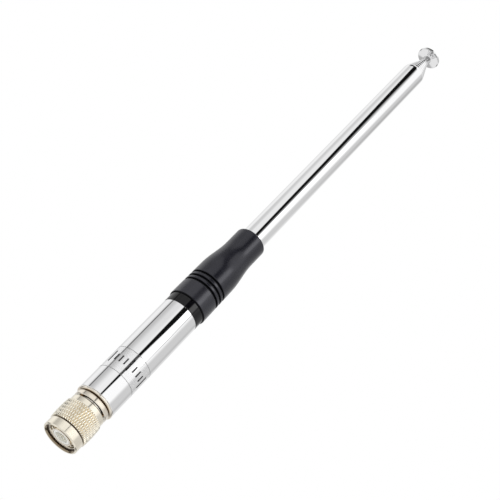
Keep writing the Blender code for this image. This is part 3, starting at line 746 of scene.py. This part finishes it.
def turned_pieces(finishes):
    """Every visible round node in its fine skin."""
    returned("connector_body", "base", finishes["nickel_body"], BODY_EDGE)
    returned("contact_insulator", "base", finishes["white_insulator"])
    returned("center_pin", "base", finishes["gilt_brass"], FINE_EDGE, PIN_SIDES)
    returned("barrel", "base", finishes["barrel_chrome"])
    returned("insulator_bush", "base", finishes["black_gloss"], BUSH_EDGE)
    returned("boot", "base", finishes["black_satin"], BOOT_EDGE)
    returned("section_1", "base", finishes["rod_chrome"], FINE_EDGE)
    for number in SECTIONS:
        returned(f"section_{number}", f"rod_{number}", finishes["rod_chrome"],
                 FINE_EDGE, SECTION_SIDES)
    returned("tip_button", "rod_8", finishes["button_chrome"], FINE_EDGE)


def hidden_pieces(finishes):
    """Finishes of the nodes inside, which keep their own shapes."""
    inside = {"nut_snap_ring": "spring_bronze", "connector_gasket": "gasket_rubber",
              "coil_former": "former_plastic", "loading_coil": "copper_wire", "rod_stud": "stud_brass"}
    for number in SECTIONS:
        inside[f"contact_spring_{number}"] = "spring_bronze"
    for node, finish in inside.items():
        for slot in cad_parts[node].material_slots:
            slot.material = finishes[finish]


# soft cards of light or shade, laid over each other: middle of the card round the object (from
# the front towards +X), half its width, how far its sides fade, its middle elevation, half its
# height, how far its ends fade, and its shade
CARDS = [
    (27, 30, 30, 30, 30, 8, 257),
    (-30, 8, 20, 15, 10, 3, 243),
    (-40, 14, 14, 38, 6, 4, 238),
    (-115, 16, 12, 35, 25, 10, 244),
    (-80, 4, 24, 24, 6, 6, 192),
    (-84, 5, 16, 42, 10, 6, 207),
    (-90, 3, 3, 26, 3, 1, 112),
    (48, 2, 4, 28, 1, 2, 200),
    (92, 20, 18, 32, 16, 6, 208),
    (125, 6, 12, 26, 3, 2, 195),
    (116, 8, 24, 43, 2, 6, 182),
    (175, 22, 18, 38, 6, 6, 242),
    (30, 9, 9, 33, 6, 2, 400),
    (0, 50, 50, -34, 14, 4, 145),
    (180, 50, 40, -28, 3, 4, 178),
    (180, 90, 40, -60, 24, 4, 234),
    (7, 6, 5, -45, 2, 3, 238),
    (50, 5, 7, -8, 20, 4, 118),
    (-52, 4, 5, -8, 20, 4, 135),
    (128, 7, 6, -8, 20, 4, 112),
    (-126, 6, 8, -8, 20, 4, 124),
]
ROOM_SHADE = 224

# edges of the dark band by elevation, and how far they fade
BAND_LEFT = [(-90, -8), (22.6, -8), (23.1, -11.7), (26.5, -12.5), (34, -17), (38, -24),
             (41.5, -38), (44, -50), (44.6, -50), (44.8, -103), (90, -103)]
BAND_RIGHT = [(-90, -5.5), (22.6, -5.5), (23.1, -3.2), (26.3, 4.5), (28.1, 13.5), (34, 16),
              (38, 12), (41.5, 2), (44, -3), (44.8, -14), (90, -14)]
BAND_FADE = [(-90, 1.6), (29, 1.6), (34, 14), (43, 14), (44.8, 2), (90, 2)]


def by_elevation(tree, elevation, table):
    """A number that follows the elevation, between plus and minus BAND_ANGLE."""
    shades = [(place, ((angle + BAND_ANGLE) / (2 * BAND_ANGLE),) * 3 + (1.0,)) for place, angle in table]
    share = stops(tree, elevation, -90, 90, shades)
    return scaled(tree, share, 0, 1, -BAND_ANGLE, BAND_ANGLE)


def within(tree, angle, middle, half, fade):
    """A share of 1 within half of the middle angle, that falls to 0 over the fade beyond it."""
    off = maths(tree, "ABSOLUTE", maths(tree, "WRAP", maths(tree, "SUBTRACT", angle, middle), 180, -180))
    return scaled(tree, off, half + fade, half)


def soft_light(tree, around, elevation):
    """The room's even light with the soft cards laid over it."""
    shade = grey(ROOM_SHADE)
    for middle, half, fade, height, half_height, end_fade, value in CARDS:
        sideways = within(tree, around, middle, half, fade)
        upwards = within(tree, elevation, height, half_height, end_fade)
        shade = mixed(tree, product(tree, sideways, upwards), shade, grey(value))
    return shade


def studio_light(tree):
    """Light of the studio by direction: soft cards in an even room, with one dark band in front."""
    direction = add(tree, "TexCoord").outputs["Generated"]
    parts = add(tree, "SeparateXYZ", None, Vector=direction).outputs
    around = maths(tree, "DEGREES", maths(tree, "ARCTAN2", parts[0], product(tree, parts[1], -1)))
    elevation = maths(tree, "DEGREES", maths(tree, "ARCSINE", parts[2]))
    soft = soft_light(tree, around, elevation)
    left = by_elevation(tree, elevation, BAND_LEFT)
    right = by_elevation(tree, elevation, BAND_RIGHT)
    fade = by_elevation(tree, elevation, BAND_FADE)
    past_left = maths(tree, "DIVIDE", maths(tree, "SUBTRACT", around, left), BAND_SOFT)
    short_of_right = maths(tree, "DIVIDE", maths(tree, "SUBTRACT", right, around), fade)
    between = product(tree, scaled(tree, past_left, -1, 1), scaled(tree, short_of_right, -1, 1))
    above_level = maths(tree, "GREATER_THAN", elevation, 0.0)
    below_top = scaled(tree, elevation, BAND_TOP, BAND_TOP - BAND_TOP_FADE)
    band = product(tree, between, product(tree, above_level, below_top))
    return mixed(tree, band, soft, grey(BAND_SHADE))


def studio():
    """Plain white behind the object and soft studio shades in its reflections."""
    world = bpy.data.worlds.new("studio")
    bpy.context.scene.world = world
    world.use_nodes = True
    tree = world.node_tree
    tree.nodes.clear()
    shades = add(tree, "Background", None, Color=studio_light(tree), Strength=1.0)
    white = add(tree, "Background", None, Color=(1.0, 1.0, 1.0, 1.0), Strength=1.0)
    ray = add(tree, "LightPath").outputs
    plain = maths(tree, "MAXIMUM", ray["Is Camera Ray"], ray["Is Diffuse Ray"])
    light = add(tree, "MixShader", None, in_0=plain, in_1=shades.outputs[0], in_2=white.outputs[0])
    add(tree, "OutputWorld", None, Surface=light.outputs[0])
    bpy.context.scene.view_settings.view_transform = "Standard"
    cycles = bpy.context.scene.cycles
    cycles.max_bounces = BOUNCES
    cycles.glossy_bounces = BOUNCES
    cycles.diffuse_bounces = BOUNCES


def floor():
    """A round pale floor well below, left out of the metal's reflections."""
    points = []
    for i in range(FLOOR_SIDES):
        angle = math.tau * i / FLOOR_SIDES
        points.append((FLOOR_RADIUS * math.cos(angle), FLOOR_RADIUS * math.sin(angle), FLOOR_HEIGHT))
    piece = new_piece("floor", points, [tuple(range(FLOOR_SIDES))])
    material, tree, shader = plain_material("floor_paper", (0.87, 0.87, 0.87), 0.0, 0.9)
    vary(tree, shader, "Base Color", noise(tree, (3, 3, 3)), (0.86, 0.86, 0.86), (0.88, 0.88, 0.88))
    piece.data.materials.append(material)
    piece.visible_glossy = False


def camera():
    """The photograph's view: from below the nut's rim, looking up along the rod."""
    level = math.sqrt(1 - CAMERA_RISE ** 2)
    forward = Vector((0, level, CAMERA_RISE))
    upright = Vector((0, -CAMERA_RISE, level))
    roll = math.radians(CAMERA_ROLL)
    side = Vector((1, 0, 0))
    right = math.cos(roll) * upright + math.sin(roll) * side
    up = math.sin(roll) * upright - math.cos(roll) * side
    eye = bpy.data.objects.new("camera", bpy.data.cameras.new("camera"))
    bpy.context.scene.collection.objects.link(eye)
    turn = Matrix((right, up, -forward)).transposed().to_4x4()
    half_pixel = 0.5 / CAMERA_FOCAL * -CAMERA_PLACE.y
    turn.translation = CAMERA_PLACE + half_pixel * (up - right)
    eye.matrix_world = turn
    eye.data.sensor_width = SENSOR_WIDTH
    eye.data.lens = CAMERA_FOCAL / FRAME_WIDTH * SENSOR_WIDTH
    eye.data.clip_start = CAMERA_NEAR
    eye.data.clip_end = CAMERA_FAR
    bpy.context.scene.camera = eye


finishes = materials()
coupling_nut(finishes["nickel"])
turned_pieces(finishes)
hidden_pieces(finishes)
label(finishes)
studio()
floor()
camera()
